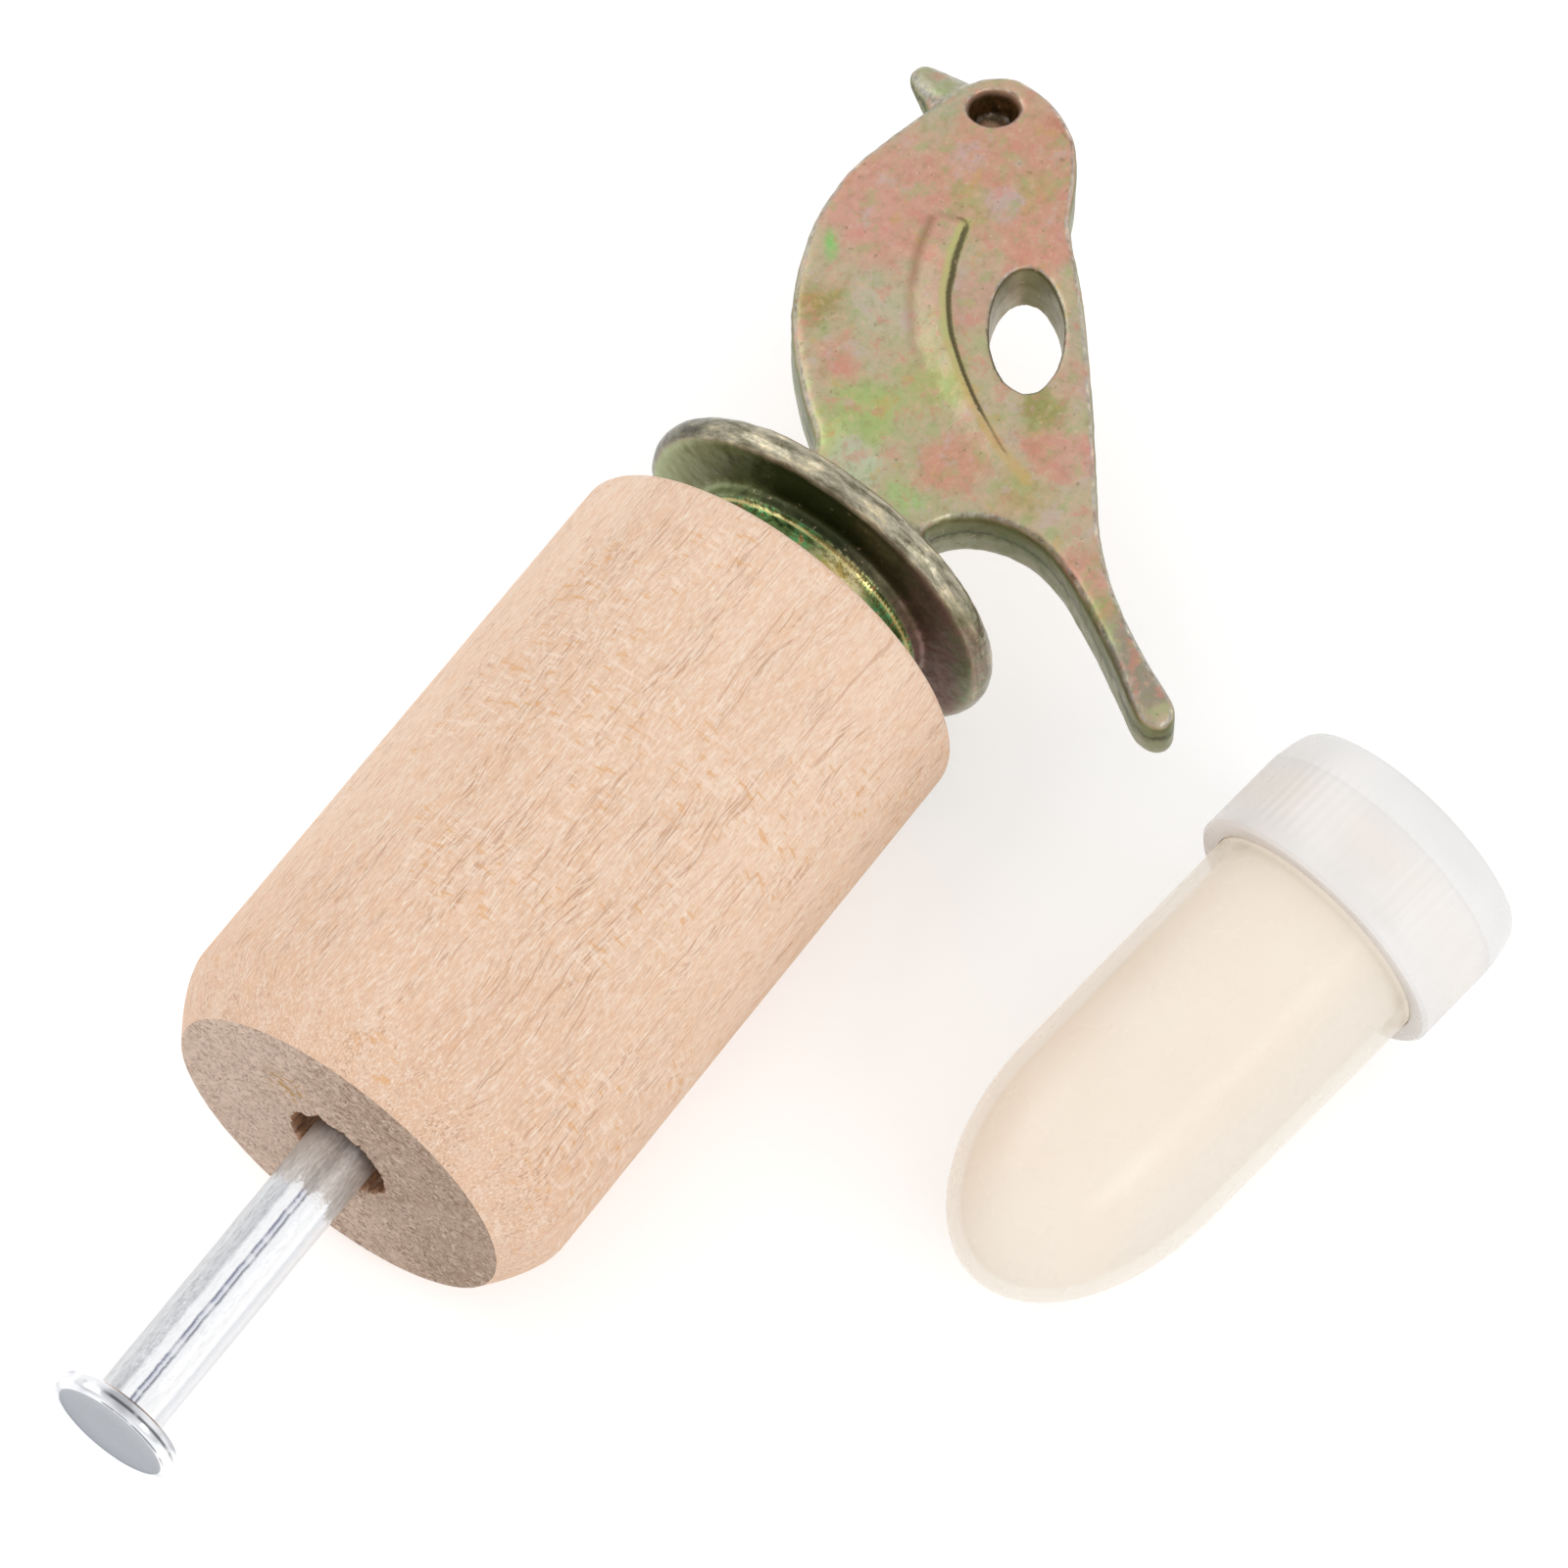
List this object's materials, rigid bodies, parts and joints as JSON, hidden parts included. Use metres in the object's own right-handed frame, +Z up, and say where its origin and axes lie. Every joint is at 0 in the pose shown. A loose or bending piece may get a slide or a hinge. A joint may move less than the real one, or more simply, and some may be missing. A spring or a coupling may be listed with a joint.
{
  "type": "bird call",
  "caption": "Twist bird call: a wooden barrel with a bird-shaped cast handle on a squeaking plug and a sliding retaining pin, lying beside a screw-capped vial of rosin.",
  "frame": {"origin": "middle of the wooden barrel, on the call's own axis", "axes": "+X along the call's axis towards the bird, +Z up out of the table and square to the bird's plate, +Y towards the bird's breast, with its tail and the vial at -Y"},
  "size_m": [0.0958, 0.0575, 0.025],
  "materials": {
    "wood": "sanded pale hardwood, unvarnished",
    "pin": "bright plating",
    "casting": "die-cast zinc with a yellow iridescent chromate, as cast",
    "tube": "milky translucent moulding",
    "cap": "milky translucent moulding with faint ribs",
    "liner": "soft foam disc",
    "rosin": "packed cream powder"
  },
  "bodies": {
    "barrel": {"barrel": "wood"},
    "pin": {"retaining_pin": "pin"},
    "handle": {"bird_handle": "casting"},
    "vial": {"vial_tube": "tube", "rosin_powder": "rosin"},
    "liner": {"cap_liner": "liner"},
    "cap": {"vial_cap": "cap"}
  },
  "joints": [
    {"name": "pull", "type": "slide", "parent": "barrel", "child": "pin", "axis": [1, 0, 0], "range_m": [-0.0029, 0.01885]},
    {"name": "twist", "type": "hinge", "parent": "pin", "child": "handle", "pos_m": [0, 0, 0], "axis": [1, 0, 0], "continuous": true},
    {"name": "vial_lift", "type": "slide", "parent": "barrel", "child": "vial", "axis": [0, 0, 1], "range_m": [0, 0.06]},
    {"name": "cap_rise", "type": "slide", "parent": "vial", "child": "liner", "axis": [0.9878, -0.1336, 0.0798], "range_m": [0, 0.0032]},
    {"name": "cap_turn", "type": "hinge", "parent": "liner", "child": "cap", "pos_m": [0.02376, -0.03381, -0.00423], "axis": [0.9878, -0.1336, 0.0798], "range_deg": [0, 580]}
  ],
  "couplings": [
    {"joint": "cap_turn", "follows": "cap_rise", "rad_per_m": 3141.6}
  ]
}
